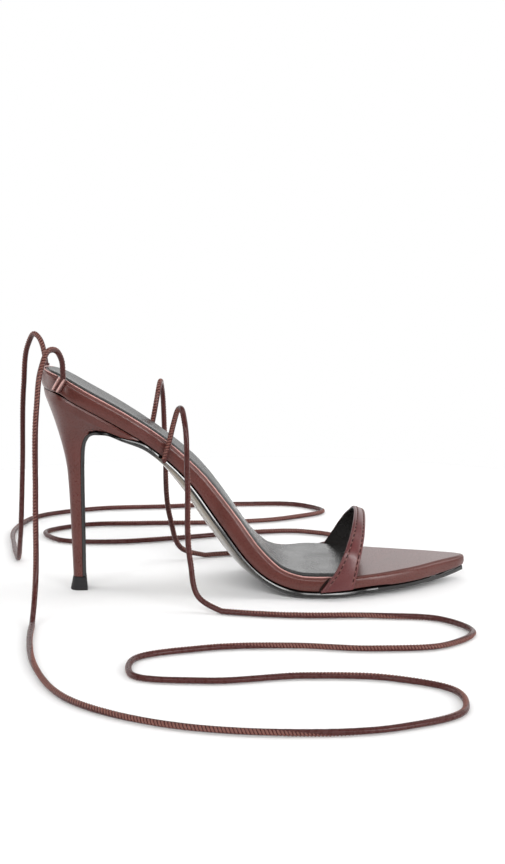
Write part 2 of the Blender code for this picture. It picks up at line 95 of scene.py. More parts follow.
def calf_leather(name, deep, pale, gloss):
    """Aniline calf, smooth and lightly polished: an even colour with slow cloudy changes of shade, a fine
    pebble grain and small pores. The grain is about 0.3 mm in life and is drawn at 0.8 mm to show."""
    made, shader, place = new_material(name)
    clouds = {"Vector": place, "Scale": scale_for(20.0), "Detail": 4.0, "Roughness": 0.55}
    cloud = add_node(made, "ShaderNodeTexNoise", {}, clouds).outputs["Fac"]
    cells = {"Vector": place, "Scale": scale_for(0.8), "Smoothness": 0.5}
    cell = add_node(made, "ShaderNodeTexVoronoi", {"feature": "SMOOTH_F1"}, cells).outputs["Distance"]
    pores = {"Vector": place, "Scale": scale_for(0.5), "Detail": 2.0}
    pore = add_node(made, "ShaderNodeTexNoise", {}, pores).outputs["Fac"]
    shade = {"Value": cloud, "From Min": 0.32, "From Max": 0.68}
    shade = add_node(made, "ShaderNodeMapRange", {}, shade).outputs["Result"]
    tint = {0: shade, 6: colour(deep), 7: colour(pale)}
    tint = add_node(made, "ShaderNodeMix", MIX_COLOURS, tint).outputs[2]
    crease = {"Value": cell, "From Min": 0.35, "From Max": 0.75, "To Min": 1.0, "To Max": 0.86}
    crease = add_node(made, "ShaderNodeMapRange", {}, crease).outputs["Result"]
    grained = {0: 1.0, 6: tint, 7: crease}
    settings = {"data_type": "RGBA", "blend_type": "MULTIPLY"}
    grained = add_node(made, "ShaderNodeMix", settings, grained).outputs[2]
    polish = {"Value": pore, "From Min": 0.3, "From Max": 0.7}
    polish.update({"To Min": gloss - 0.04, "To Max": gloss + 0.06})
    polish = add_node(made, "ShaderNodeMapRange", {}, polish).outputs["Result"]
    relief = {0: cell, 1: pore}
    relief = add_node(made, "ShaderNodeMath", {"operation": "SUBTRACT"}, relief).outputs["Value"]
    bump = {"Height": relief, "Strength": 0.10, "Distance": 0.00012}
    bump = add_node(made, "ShaderNodeBump", {"invert": True}, bump).outputs["Normal"]
    connect(made, shader, {"Base Color": grained, "Roughness": polish, "Normal": bump})
    connect(made, shader, {"IOR": 1.5, "Specular IOR Level": 0.42})
    return made


def pick(piece):
    """Leaves this piece alone selected, and active."""
    bpy.ops.object.select_all(action="DESELECT")
    piece.select_set(True)
    bpy.context.view_layer.objects.active = piece


def merged_copy(node_name, piece_name, sharp=CREASE_ANGLE):
    """A CAD node's surface as a new piece of joined quads, with its sharp edges creased."""
    piece = bpy.data.objects.new(piece_name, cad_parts[node_name].data.copy())
    bpy.context.scene.collection.objects.link(piece)
    pick(piece)
    bpy.ops.mesh.customdata_custom_splitnormals_clear()
    bpy.ops.object.mode_set(mode="EDIT")
    bpy.ops.mesh.select_mode(type="EDGE")
    bpy.ops.mesh.select_all(action="SELECT")
    bpy.ops.mesh.remove_doubles(threshold=MERGE_DISTANCE)
    bpy.ops.mesh.tris_convert_to_quads(face_threshold=QUAD_BEND, shape_threshold=QUAD_SKEW)
    bpy.ops.mesh.mark_sharp(clear=True)
    bpy.ops.mesh.select_all(action="DESELECT")
    bpy.ops.mesh.edges_select_sharp(sharpness=sharp)
    bpy.ops.transform.edge_crease(value=CREASE)
    bpy.ops.object.mode_set(mode="OBJECT")
    return piece


def refined(piece, passes=0):
    """Subdivides the piece smoothly and shades it smooth. In each pass its points are first moved out to
    where the smooth surface comes closer to the places that they had, so that it keeps its full size."""
    pick(piece)
    modifier = piece.modifiers.new("smooth", "SUBSURF")
    modifier.levels = SUBDIVISIONS
    modifier.render_levels = SUBDIVISIONS
    full = np.array([vertex.co for vertex in piece.data.vertices])
    for _ in range(passes):
        smooth = piece.evaluated_get(bpy.context.evaluated_depsgraph_get()).data
        short = full - np.array([smooth.vertices[i].co for i in range(len(full))])
        for vertex, move in zip(piece.data.vertices, short):
            vertex.co = np.array(vertex.co) + move
        piece.data.update()
    bpy.ops.object.modifier_apply(modifier=modifier.name)
    bpy.ops.object.shade_smooth_by_angle(angle=SMOOTH_ANGLE)
    return piece


def dressed(piece, material):
    """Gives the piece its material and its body."""
    piece.data.materials.clear()
    piece.data.materials.append(material)
    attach(piece, "root")


band_leather = calf_leather("burgundy_calf_leather", "#502822", "#5b2f2a", 0.29)
footbed = refined(merged_copy("footbed", "footbed_wrapped"))
# The top of the toe's tip is drawn down a little
places = np.array([vertex.co for vertex in footbed.data.vertices])
at_tip = places[:, 0] > TOE_TIP_START
low, high = places[at_tip, 2].min(), places[at_tip, 2].max()
reach = np.clip((places[:, 0] - TOE_TIP_START) / (places[:, 0].max() - TOE_TIP_START), 0.0, 1.0)
droop = TOE_TIP_DROOP * reach**2 * np.clip((places[:, 2] - low) / (high - low), 0.0, 1.0)
for vertex, drop in zip(footbed.data.vertices, droop):
    vertex.co.z -= drop
dressed(footbed, band_leather)
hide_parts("footbed")

# Insole sock
# The black sock of satin-finished sheepskin over thin foam, glued into the bed of the footbed. It runs
# from the heel to just under the toe strap. Its sizes are in millimetres.
MILLIMETRE = 0.001
SOCK_ROWS = 150
SOCK_COLUMNS = 44
SOCK_TOP_LEAN = 0.1
SOCK_TOP_RISE = 0.3
SOCK_HEEL_POINTS = 4
SOCK_RISE_STEP = 0.001
SOCK_OUTLINE_POINTS = 3000
SOCK_FRONT_POINTS = 800
SOCK_PARTS = 40
SOCK_EDGE_SHARE = 0.0001
SOCK_MERGE_DISTANCE = 0.01
SOCK_SMOOTH_ANGLE = math.radians(60)
SOCK_THICKNESS = 1.0
# How its edge stands over the bed: how far out, then the heights of its foot, wall, roll and crown
SOCK_OUT = 0.55
SOCK_FOOT = -0.40
SOCK_WALL = -0.10
SOCK_WALL_WIDTH = 0.15
SOCK_ROLL = 1.55
SOCK_ROLL_WIDTH = 2.6
SOCK_CROWN = 0.35
SOCK_CROWN_WIDTH = 14.0
# The share of that height on the outer side, and how much more padding the arch has there
SOCK_OUTER_SHARE = 0.28
SOCK_ARCH_SHARE = 0.85
SOCK_ARCH_X = -27.0
SOCK_ARCH_HALF = 17.0


def satin_sheepskin():
    """Black sheepskin with a satin finish: a soft sheen with slow changes of polish, and a fine grain that
    runs across. The grain is finer in life and is drawn at about 1 mm to show."""
    made, shader, place = new_material("black_satin_sheepskin")
    cells = {"Vector": place, "Scale": scale_for(0.9), "Smoothness": 0.6}
    cell = add_node(made, "ShaderNodeTexVoronoi", {"feature": "SMOOTH_F1"}, cells).outputs["Distance"]
    stretched = {"Vector": place, "Scale": (1.0, 0.25, 1.0)}
    stretched = add_node(made, "ShaderNodeMapping", {}, stretched).outputs["Vector"]
    streaks = {"Vector": stretched, "Scale": scale_for(1.2), "Detail": 3.0}
    streak = add_node(made, "ShaderNodeTexNoise", {}, streaks).outputs["Fac"]
    clouds = {"Vector": place, "Scale": scale_for(16.0), "Detail": 3.0}
    cloud = add_node(made, "ShaderNodeTexNoise", {}, clouds).outputs["Fac"]
    tint = {0: streak, 6: colour("#1b1a1a"), 7: colour("#2b2a29")}
    tint = add_node(made, "ShaderNodeMix", MIX_COLOURS, tint).outputs[2]
    polish = {"Value": cloud, "From Min": 0.3, "From Max": 0.7, "To Min": 0.18, "To Max": 0.31}
    polish = add_node(made, "ShaderNodeMapRange", {}, polish).outputs["Result"]
    relief = {0: streak, 1: cell}
    relief = add_node(made, "ShaderNodeMath", {"operation": "SUBTRACT"}, relief).outputs["Value"]
    bump = {"Height": relief, "Strength": 0.46, "Distance": 0.00018}
    bump = add_node(made, "ShaderNodeBump", {}, bump).outputs["Normal"]
    connect(made, shader, {"Base Color": tint, "Roughness": polish, "Normal": bump})
    connect(made, shader, {"IOR": 1.5, "Specular IOR Level": 0.44})
    return made


def unit(vectors):
    """Vectors cut or stretched to length 1."""
    return vectors / np.linalg.norm(vectors, axis=-1, keepdims=True)


def run_along(line):
    """How far along a line each of its points is."""
    return np.concatenate([[0.0], np.cumsum(np.linalg.norm(np.diff(line, axis=0), axis=1))])


def read_at(at, run, values):
    """Values kept at each run along a line, read at other runs."""
    return np.stack([np.interp(at, run, values[:, i]) for i in range(3)], axis=-1)


def sock_sides():
    """The edges of the CAD sock's flat top in millimetres, each from the heel's back to the front, on the
    inner and on the outer side, with the outward direction and the upward direction at each point."""
    copy = merged_copy("insole_sock", "sock_top", math.pi)
    uses = {}
    for face in copy.data.polygons:
        lean_x, lean_y, rise = face.normal
        flat = abs(lean_y) < SOCK_TOP_LEAN and lean_x > -SOCK_TOP_LEAN and rise > SOCK_TOP_RISE
        for key in face.edge_keys if flat else ():
            uses[key] = uses.get(key, 0) + 1
    rim = sorted({i for key, count in uses.items() if count == 1 for i in key})
    places = np.array([copy.data.vertices[i].co for i in rim]) / MILLIMETRE
    bpy.data.objects.remove(copy)
    places = places[np.argsort(places[:, 0])]
    back = places[0]
    sides = []
    for hand in (-1, 1):
        side = places[1:][hand * (places[1:, 1] - back[1]) > 0]
        side = np.concatenate([[back], side])
        ahead = np.gradient(side, axis=0)
        ahead[0] = (0.0, hand, 0.0)
        rising = np.maximum.accumulate(side[:, 0] + SOCK_RISE_STEP * np.arange(len(side)))
        slope = np.gradient(side[:, 2], rising)
        slope[:SOCK_HEEL_POINTS] = slope[SOCK_HEEL_POINTS]
        up = unit(np.stack([-slope, 0 * slope, 1 + 0 * slope], axis=-1))
        sides.append((side, unit(hand * np.cross(up, ahead)), up))
    return sides


SOCK_SIDES = sock_sides()


def at_shares(values, places, shares):
    """Values kept at places along a line, read at shares of its length."""
    run = run_along(places)
    return read_at(shares * run[-1], run, values)


def sock_edges(shares):
    """The sock's inner and outer edge, read at shares of their lengths."""
    return [at_shares(side + SOCK_OUT * out, side, shares) for side, out, _ in SOCK_SIDES]


def closer_at_ends(shares):
    """Shares from 0 to 1, moved closer together towards both ends."""
    return 0.5 - 0.5 * np.cos(math.pi * np.clip(shares, 0.0, 1.0))


def sock_lift(inside):
    """How far the sock's face stands over the CAD sock's top at a distance inside its edge: an upright
    wall, a tight roll and a soft crown."""
    wall = np.clip(inside / SOCK_WALL_WIDTH, 0.0, 1.0)
    roll = np.clip((inside - SOCK_WALL_WIDTH) / SOCK_ROLL_WIDTH, 0.0, 1.0)
    crown = np.clip(inside / SOCK_CROWN_WIDTH, 0.0, 1.0)
    lift = SOCK_FOOT + (SOCK_WALL - SOCK_FOOT) * wall
    return lift + SOCK_ROLL * np.sqrt(1 - (1 - roll) ** 2) + SOCK_CROWN * (1 - (1 - crown) ** 2)


sock_leather = satin_sheepskin()
bpy.ops.object.select_all(action="DESELECT")
bpy.ops.mesh.primitive_grid_add(x_subdivisions=SOCK_ROWS, y_subdivisions=SOCK_COLUMNS, size=1.0)
sock = bpy.context.object
sock.name = "insole_sock_padded"
flat = np.array([vertex.co for vertex in sock.data.vertices])
row = closer_at_ends(flat[:, 0] + 0.5)
column = closer_at_ends(flat[:, 1] + 0.5)[:, None]
inner_edge, outer_edge = sock_edges(row)
places = inner_edge + column * (outer_edge - inner_edge)
inner_rim, outer_rim = sock_edges(np.linspace(0.0, 1.0, SOCK_OUTLINE_POINTS))
front_shares = np.linspace(0.0, 1.0, SOCK_FRONT_POINTS)[:, None]
front = inner_rim[-1] + front_shares * (outer_rim[-1] - inner_rim[-1])
outline = np.concatenate([inner_rim, outer_rim, front])
# Each point's distance to the outline, worked out for a part of the points at a time
inside = [
    np.linalg.norm(part[:, None] - outline[None], axis=2).min(axis=1)
    for part in np.array_split(places, SOCK_PARTS)
]
inside = np.concatenate(inside)
at_edge = (column[:, 0] < SOCK_EDGE_SHARE) | (column[:, 0] > 1 - SOCK_EDGE_SHARE)
inside[at_edge] = 0.0
lift = sock_lift(inside)[:, None]
arch = np.exp(-(((places[:, :1] - SOCK_ARCH_X) / SOCK_ARCH_HALF) ** 2))
outer_share = SOCK_OUTER_SHARE + SOCK_ARCH_SHARE * arch
lift = np.where(lift > 0, lift * (1 - (1 - outer_share) * column), lift)
inner_side, _, inner_up = SOCK_SIDES[0]
places = places + lift * at_shares(inner_up, inner_side, row)
for vertex, place in zip(sock.data.vertices, places * MILLIMETRE):
    vertex.co = place
bpy.ops.object.mode_set(mode="EDIT")
bpy.ops.mesh.select_all(action="SELECT")
bpy.ops.mesh.remove_doubles(threshold=SOCK_MERGE_DISTANCE * MILLIMETRE)
bpy.ops.mesh.normals_make_consistent(inside=False)
bpy.ops.object.mode_set(mode="OBJECT")
if sock.data.polygons[len(sock.data.polygons) // 2].normal.z < 0:
    sock.data.flip_normals()
sock_body = sock.modifiers.new("body", "SOLIDIFY")
sock_body.thickness = SOCK_THICKNESS * MILLIMETRE
sock_body.offset = -1.0
bpy.ops.object.modifier_apply(modifier=sock_body.name)
bpy.ops.object.shade_smooth_by_angle(angle=SOCK_SMOOTH_ANGLE)
dressed(sock, sock_leather)
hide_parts("insole_sock")

# Rim piping
# A thin roll of calf leather, caught between the footbed's cover and the sock. Its pale pink colour is a
# painted highlight along the rim's edge. It runs from the toe strap along the inner side, round the heel and
# along the outer side, where it lies lower and ends short of the strap. Its sizes are in millimetres.
PIPING_RADIUS = 0.37
PIPING_SIDES = 8
PIPING_STEP = 1.5
PIPING_OUT = 1.35
ANY_DIRECTION = (0.3, 0.2, 1.0)
# Heights on the inner and on the outer side, the run round the heel on which it comes down from the one to
# the other, and how far from the sock's front it starts and ends
PIPING_UP = (0.06, -0.40)
PIPING_TURN = 20.0
PIPING_FRONT = (2.0, 40.0)


def frames_along(line):
    """Two directions square to a line at each point, carried along it without a twist."""
    heading = unit(np.gradient(line, axis=0))
    normals = [unit(np.cross(heading[0], ANY_DIRECTION))]
    for direction in heading[1:]:
        normals.append(unit(normals[-1] - np.dot(normals[-1], direction) * direction))
    normals = np.array(normals)
    return normals, np.cross(heading, normals)


def closed_tubes(name, bodies):
    """One piece of closed tubes, each a grid of rings by sides of points in metres."""
    points, faces = [], []
    for body in bodies:
        rings, sides = body.shape[:2]
        start = len(points)
        last = start + (rings - 1) * sides
        points.extend(body.reshape(-1, 3))
        for low in range(start, last, sides):
            high = low + sides
            for side in range(sides):
                after = (side + 1) % sides
                faces.append((low + side, low + after, high + after, high + side))
        faces.append([start + side for side in reversed(range(sides))])
        faces.append([last + side for side in range(sides)])
    mesh = bpy.data.meshes.new(name)
    mesh.from_pydata(points, [], faces)
    piece = bpy.data.objects.new(name, mesh)
    bpy.context.scene.collection.objects.link(piece)
    pick(piece)
    bpy.ops.object.mode_set(mode="EDIT")
    bpy.ops.mesh.select_all(action="SELECT")
    bpy.ops.mesh.normals_make_consistent(inside=False)
    bpy.ops.object.mode_set(mode="OBJECT")
    bpy.ops.object.shade_smooth()
    return piece


beside_inner, beside_outer = (side + PIPING_OUT * out for side, out, _ in SOCK_SIDES)
line = np.concatenate([beside_inner[:0:-1], beside_outer])
upward = np.concatenate([SOCK_SIDES[0][2][:0:-1], SOCK_SIDES[1][2]])
run = run_along(line)
from_back = run - run[len(beside_inner) - 1]
line = line + np.interp(from_back, (-PIPING_TURN, PIPING_TURN), PIPING_UP)[:, None] * upward
even = np.linspace(PIPING_FRONT[0], run[-1] - PIPING_FRONT[1], int(run[-1] / PIPING_STEP))
line = read_at(even, run, line)
first, second = frames_along(line)
angle = 2 * math.pi * np.arange(PIPING_SIDES)[None, :, None] / PIPING_SIDES
rings = line[:, None] + PIPING_RADIUS * (first[:, None] * np.cos(angle) + second[:, None] * np.sin(angle))
piping = closed_tubes("rim_piping", [rings * MILLIMETRE])
# Pale pink: a painted highlight along the rim
dressed(piping, calf_leather("piping_leather_painted_highlight", "#b07f79", "#c3958f", 0.22))

# Outsole
# One thin sole of lacquered leather, cemented under the footbed from the toe along the arch, and carried
# on down the breast of the heel. Its edge is trimmed to a narrow polished facet.
BREAST_X = -0.056
BREAST_CLOSE = 0.0006
TOWARDS_HEEL = (-0.755, 0.0, 0.655)
TOWARDS_HEEL_SHARE = 0.4
SOLE_EDGE_REAR = -0.074
SOLE_EDGE_FRONT = 0.060
SOLE_EDGE_LEAN = 0.6
SOLE_EDGE_DROP = -0.35
SOLE_EDGE_WIDTH = 0.0010
SOLE_EDGE_SWELL = 0.00042
# Where the painted reflection of the floor under the waist begins and where it is full: height over the
# floor, place along, and facing down
WAIST_HEIGHT = (0.010, 0.040)
WAIST_REAR = (-0.056, -0.046)
WAIST_FACING = (-0.15, -0.45)


def polished_sole():
    """Lacquered sole leather: a wet gloss and faint long scuffs, inked deep black at the edge and on the
    tread. Under the waist, where it faces down, it is painted pale taupe: a painted reflection of the white
    floor."""
    made, shader, place = new_material("polished_black_sole")
    stretched = {"Vector": place, "Scale": (0.15, 1.0, 0.15)}
    stretched = add_node(made, "ShaderNodeMapping", {}, stretched).outputs["Vector"]
    scuffs = {"Vector": stretched, "Scale": scale_for(1.5), "Detail": 5.0}
    scuff = add_node(made, "ShaderNodeTexNoise", {}, scuffs).outputs["Fac"]
    clouds = {"Vector": place, "Scale": scale_for(12.0), "Detail": 3.0}
    cloud = add_node(made, "ShaderNodeTexNoise", {}, clouds).outputs["Fac"]
    ink = {0: cloud, 6: colour("#0a0909"), 7: colour("#131111")}
    ink = add_node(made, "ShaderNodeMix", MIX_COLOURS, ink).outputs[2]
    spot = add_node(made, "ShaderNodeSeparateXYZ", {}, {"Vector": place}).outputs
    facing = add_node(made, "ShaderNodeTexCoord", {}, {}).outputs["Normal"]
    facing = add_node(made, "ShaderNodeSeparateXYZ", {}, {"Vector": facing}).outputs
    painted_floor_reflection = 1.0
    limits = ((spot["Z"], WAIST_HEIGHT), (spot["X"], WAIST_REAR), (facing["Z"], WAIST_FACING))
    for value, (none, full) in limits:
        share = {"Value": value, "From Min": none, "From Max": full}
        share = {0: painted_floor_reflection, 1: add_node(made, "ShaderNodeMapRange", {}, share).outputs["Result"]}
        painted_floor_reflection = add_node(made, "ShaderNodeMath", {"operation": "MULTIPLY"}, share).outputs["Value"]
    # Pale taupe on the down-facing waist: a painted reflection of the white floor
    tint = {0: painted_floor_reflection, 6: ink, 7: colour("#8a8073")}
    tint = add_node(made, "ShaderNodeMix", MIX_COLOURS, tint).outputs[2]
    polish = {"Value": scuff, "From Min": 0.35, "From Max": 0.75, "To Min": 0.10, "To Max": 0.18}
    polish = add_node(made, "ShaderNodeMapRange", {}, polish).outputs["Result"]
    bump = {"Height": scuff, "Strength": 0.04, "Distance": 0.0001}
    bump = add_node(made, "ShaderNodeBump", {}, bump).outputs["Normal"]
    connect(made, shader, {"Base Color": tint, "Roughness": polish, "Normal": bump, "IOR": 1.6})
    return made


def select_faces(piece, chosen):
    """Selects the faces whose middle and normal the given test picks, and leaves the piece in edit mode."""
    pick(piece)
    bpy.ops.object.mode_set(mode="EDIT")
    bpy.ops.mesh.select_mode(type="FACE")
    bpy.ops.mesh.select_all(action="DESELECT")
    bpy.ops.object.mode_set(mode="OBJECT")
    for face in piece.data.polygons:
        face.select = bool(chosen(face.center, face.normal))
    bpy.ops.object.mode_set(mode="EDIT")


def at_breast(middle, normal):
    """Whether a face of the sole lies against the breast of the heel."""
    return middle.x < BREAST_X and np.dot(normal, TOWARDS_HEEL) > TOWARDS_HEEL_SHARE


def at_sole_edge(middle, normal):
    """Whether a face of the sole is on its upright edge, from the heel to the ball."""
    upright = abs(normal.y) > SOLE_EDGE_LEAN and normal.z > SOLE_EDGE_DROP
    return SOLE_EDGE_REAR < middle.x < SOLE_EDGE_FRONT and upright


outsole = merged_copy("outsole", "outsole_polished")
select_faces(outsole, at_breast)
bpy.ops.transform.shrink_fatten(value=BREAST_CLOSE)
bpy.ops.object.mode_set(mode="OBJECT")
refined(outsole)
select_faces(outsole, at_sole_edge)
bpy.ops.mesh.inset(thickness=SOLE_EDGE_WIDTH, depth=SOLE_EDGE_SWELL, use_even_offset=False)
bpy.ops.mesh.region_to_loop()
bpy.ops.mesh.mark_sharp()
bpy.ops.object.mode_set(mode="OBJECT")
dressed(outsole, polished_sole())
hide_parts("outsole")

# Heel
# The stiletto heel, a moulded plastic core with a steel pin, covered in the same calf leather, which is
# stretched tight round the back and glued down at the breast.
heel = refined(merged_copy("heel", "heel_covered"))
dressed(heel, band_leather)
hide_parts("heel")

# Heel tip
# The top piece: a hard-wearing black polyurethane tip, moulded on a pin that is driven into the heel.
# It stands flat on the floor.
TIP_CREASE_ANGLE = math.radians(35)
TIP_PASSES = 2


def finished(material, shader, pattern, tints, gloss, bump, specular):
    """One pattern drives a finish: two tints, a range of roughness, and a bump's strength and depth."""
    tint = {0: pattern, 6: colour(tints[0]), 7: colour(tints[1])}
    tint = add_node(material, "ShaderNodeMix", MIX_COLOURS, tint).outputs[2]
    polish = {"Value": pattern, "To Min": gloss[0], "To Max": gloss[1]}
    polish = add_node(material, "ShaderNodeMapRange", {}, polish).outputs["Result"]
    relief = {"Height": pattern, "Strength": bump[0], "Distance": bump[1]}
    relief = add_node(material, "ShaderNodeBump", {}, relief).outputs["Normal"]
    connect(material, shader, {"Base Color": tint, "Roughness": polish, "Normal": relief})
    connect(material, shader, {"IOR": 1.5, "Specular IOR Level": specular})
    return material


def tip_polyurethane():
    """Moulded polyurethane: charcoal, matte, with a fine sandy speckle and a little dust in the grain."""
    made, shader, place = new_material("matte_black_polyurethane")
    grit = {"Vector": place, "Scale": scale_for(0.4), "Detail": 3.0}
    grit = add_node(made, "ShaderNodeTexNoise", {}, grit).outputs["Fac"]
    return finished(made, shader, grit, ("#131213", "#2a292b"), (0.5, 0.65), (0.12, 0.0001), 0.25)


tip = refined(merged_copy("heel_tip", "heel_tip_moulded", TIP_CREASE_ANGLE), TIP_PASSES)
for vertex in tip.data.vertices:
    vertex.co.z = max(vertex.co.z, 0.0)
dressed(tip, tip_polyurethane())
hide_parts("heel_tip")

# Toe strap
# The upper: a strap of calf leather over the toes, its edges folded in, with a black lining and a row of
# stitches along each edge. Its ends are drawn down over the footbed's side and under it.
# Its sizes are in millimetres.
STRAP_ROWS = 130
STRAP_THICKNESS = 1.9
STRAP_LEATHER = 0.9
STRAP_GAP = 0.35
STRAP_CROWN = 0.25
STRAP_SMOOTH_ANGLE = math.radians(50)
EDGE_ROUND = 0.8
EDGE_ROUND_SHARE = 0.9
LINING_ROWS = 80
LINING_COLUMNS = 7
LINING_THICKNESS = 0.45
LINING_LIFT = 0.3
LINING_INSET = 0.35
STITCH_FROM_REAR = 1.9
STITCH_FROM_FRONT = 1.4
STITCH_PRESS = 0.28
STITCH_PRESS_WIDTH = 0.32
ROW_STEP = 0.02
WIDTH_STEP = 0.1
SHOE_MIDDLE = np.array([112.5, 1.3, 0.0])

# Columns of the strap's mesh: distances from its rear edge, shares of what lies between, and distances
# from its front edge
REAR_COLUMNS = (0.0, 0.06, 0.2, 0.45, 0.8, 1.2, 1.5, 1.72, 1.9, 2.08, 2.3, 2.6)
MIDDLE_COLUMNS = (0.2, 0.4, 0.6, 0.8)
FRONT_COLUMNS = (2.1, 1.8, 1.58, 1.4, 1.22, 1.0, 0.8, 0.45, 0.2, 0.06, 0.0)
# Half widths of the footbed by the strap: along, medial, lateral
FOOTBED_EDGES = np.array([
    (135.0, 36.0, 40.0), (142.5, 37.2, 42.3), (151.0, 37.5, 40.8),
    (166.0, 36.0, 31.6), (190.0, 28.2, 17.2), (209.0, 16.0, 7.8),
])
# The strap's middle line from the inner to the outer side: along, height, spread, width, drop in degrees
STRAP_SECTIONS = np.array([
    (149.4, 5.4, -1.0, 16.8, -5.0), (153.6, 13.2, -1.0, 11.8, 9.0), (156.8, 21.4, -0.97, 9.4, 16.0),
    (160.2, 29.4, -0.83, 8.2, 19.0), (163.9, 35.7, -0.48, 7.0, 20.0), (166.8, 38.3, 0.0, 6.4, 21.0),
    (167.6, 33.9, 0.50, 7.0, 20.0), (166.6, 27.3, 0.83, 8.6, 19.0), (164.6, 20.4, 0.97, 10.2, 16.0),
    (161.9, 13.2, 1.0, 12.4, 9.0), (159.4, 6.4, 1.0, 16.8, -5.0),
])
STRAP_KNOTS = np.arange(len(STRAP_SECTIONS), dtype=float)


def cubic_between(share, step, start, end, start_slope, end_slope):
    """A cubic curve at a share of the step from a start to an end, with the slopes that it has there."""
    square, cube = share**2, share**3
    return (
        (2 * cube - 3 * square + 1) * start
        + (cube - 2 * square + share) * step * start_slope
        + (3 * square - 2 * cube) * end
        + (cube - square) * step * end_slope
    )


def smooth_through(knots, values, at):
    """A monotone cubic through the knots, which never overshoots."""
    steps = np.diff(knots)
    slopes = np.diff(values) / steps
    before, after = slopes[:-1], slopes[1:]
    near, far = 2 * steps[1:] + steps[:-1], steps[1:] + 2 * steps[:-1]
    same_way = before * after > 0
    safe_before = np.where(same_way, before, 1.0)
    safe_after = np.where(same_way, after, 1.0)
    inner = np.where(same_way, (near + far) / (near / safe_before + far / safe_after), 0.0)
    tangents = np.concatenate([slopes[:1], inner, slopes[-1:]])
    part = np.clip(np.searchsorted(knots, at, side="right") - 1, 0, len(steps) - 1)
    share = (at - knots[part]) / steps[part]
    return cubic_between(
        share, steps[part], values[part], values[part + 1], tangents[part], tangents[part + 1]
    )


def strap_width(row):
    """The strap's width at a place along it."""
    return smooth_through(STRAP_KNOTS, STRAP_SECTIONS[:, 3], row)


def strap_inner(row, from_rear):
    """A place on the strap's inner face, from the shoe's middle."""
    along, height, spread, width, drop = (
        smooth_through(STRAP_KNOTS, STRAP_SECTIONS[:, i], row) for i in range(5)
    )
    reach = from_rear - width / 2
    drop = np.radians(drop)
    along = along + reach * np.cos(drop)
    height = height - reach * np.sin(drop)
    medial = smooth_through(FOOTBED_EDGES[:, 0], FOOTBED_EDGES[:, 1], along)
    lateral = smooth_through(FOOTBED_EDGES[:, 0], FOOTBED_EDGES[:, 2], along)
    across = np.where(spread < 0, medial + STRAP_GAP, lateral + STRAP_GAP) * spread
    return np.stack([along, across, height], axis=-1) - SHOE_MIDDLE


def strap_place(row, from_rear, lift):
    """A place a lift above the strap's inner face, in metres."""
    low, high = np.maximum(row - ROW_STEP, 0.0), np.minimum(row + ROW_STEP, STRAP_KNOTS[-1])
    run = strap_inner(high, from_rear) - strap_inner(low, from_rear)
    width = strap_inner(row, from_rear + WIDTH_STEP) - strap_inner(row, from_rear - WIDTH_STEP)
    outward = unit(np.cross(width, run))
    return (strap_inner(row, from_rear) + np.asarray(lift)[..., None] * outward) * MILLIMETRE


def strap_columns(width):
    """Where the columns of the strap's leather are: close together at its edges and at its stitches."""
    rear = [0 * width + distance for distance in REAR_COLUMNS]
    between = width - REAR_COLUMNS[-1] - FRONT_COLUMNS[0]
    middle = [REAR_COLUMNS[-1] + share * between for share in MIDDLE_COLUMNS]
    front = [width - distance for distance in FRONT_COLUMNS]
    return np.array(rear + middle + front)


def lining_columns(width):
    """Where the columns of the lining are: evenly spread."""
    return np.linspace(0.0, 1.0, LINING_COLUMNS)[:, None] * width


def strap_sheet(name, rows, columns, lift, thickness, inset):
    """A sheet on the strap from a grid, with its columns and its lift, given its thickness inwards."""
    last = len(columns(np.zeros(1))) - 1
    bpy.ops.object.select_all(action="DESELECT")
    bpy.ops.mesh.primitive_grid_add(x_subdivisions=rows, y_subdivisions=last, size=1.0)
    piece = bpy.context.object
    piece.name = name
    flat = np.array([vertex.co for vertex in piece.data.vertices])
    row = np.clip(flat[:, 0] + 0.5, 0.0, 1.0) * STRAP_KNOTS[-1]
    column = np.rint((flat[:, 1] + 0.5) * last).astype(int)
    width = strap_width(row)
    from_rear = np.clip(columns(width)[column, np.arange(len(row))], inset, width - inset)
    places = strap_place(row, from_rear, lift(from_rear, width))
    for vertex, place in zip(piece.data.vertices, places):
        vertex.co = place
    bpy.ops.object.mode_set(mode="EDIT")
    bpy.ops.mesh.select_all(action="SELECT")
    bpy.ops.mesh.flip_normals()
    bpy.ops.object.mode_set(mode="OBJECT")
    wall = piece.modifiers.new("wall", "SOLIDIFY")
    wall.thickness = thickness * MILLIMETRE
    wall.offset = -1.0
    bpy.ops.object.modifier_apply(modifier=wall.name)
    bpy.ops.object.shade_smooth_by_angle(angle=STRAP_SMOOTH_ANGLE)
    return piece


def strap_lift(from_rear, width):
    """How far the strap's face stands over its inner face: rolled at the edges, crowned in the middle,
    and pressed in along the stitches."""
    from_front = width - from_rear
    edge = np.minimum(from_rear, from_front)
    short = np.clip(1 - edge / EDGE_ROUND, 0.0, 1.0)
    roll = EDGE_ROUND * (1 - np.sqrt(1 - short**2))
    crown = STRAP_CROWN * (1 - (2 * from_rear / width - 1) ** 2)
    press = STITCH_PRESS * np.exp(-(((from_rear - STITCH_FROM_REAR) / STITCH_PRESS_WIDTH) ** 2))
    press += STITCH_PRESS * np.exp(-(((from_front - STITCH_FROM_FRONT) / STITCH_PRESS_WIDTH) ** 2))
    return STRAP_THICKNESS - roll * EDGE_ROUND_SHARE - press + crown - STRAP_CROWN


def lining_lift(from_rear, width):
    """How far the lining's face stands over the strap's inner face."""
    return 0 * from_rear + LINING_THICKNESS + LINING_LIFT


strap = strap_sheet("toe_strap_leather", STRAP_ROWS, strap_columns, strap_lift, STRAP_LEATHER, 0.0)
dressed(strap, calf_leather("folded_calf_leather", "#55292a", "#613332", 0.30))
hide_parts("toe_strap")
lining = strap_sheet(
    "toe_strap_lining", LINING_ROWS, lining_columns, lining_lift, LINING_THICKNESS, LINING_INSET
)
dressed(lining, sock_leather)
